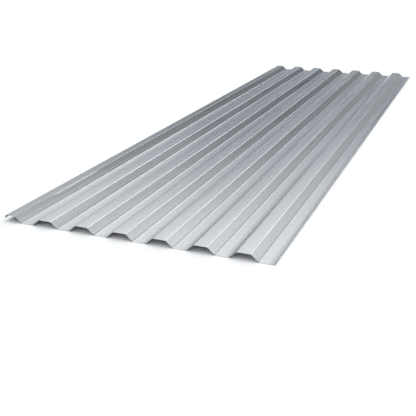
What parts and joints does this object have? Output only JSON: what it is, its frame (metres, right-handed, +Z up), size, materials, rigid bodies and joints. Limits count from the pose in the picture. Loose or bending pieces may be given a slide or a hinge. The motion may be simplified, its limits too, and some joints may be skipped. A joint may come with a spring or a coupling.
{
  "type": "corrugated metal sheet",
  "caption": "Long trapezoidal corrugated metal roofing and cladding sheet, roll-formed in one piece, with a turned-down lap edge and an upturned drain edge.",
  "frame": {"origin": "on the plane of the valley undersides, below the middle of the sheet's box", "axes": "+Y along the ribs, +X across them from the lap edge to the drain edge, +Z up through the crests"},
  "size_m": [1.0256, 3.5, 0.025],
  "materials": {
    "coated_steel": "bare zinc-aluminium coated steel, satin, with fine rolling streaks along the ribs"
  },
  "bodies": {
    "root": {"corrugated_sheet": "coated_steel"}
  },
  "joints": []
}
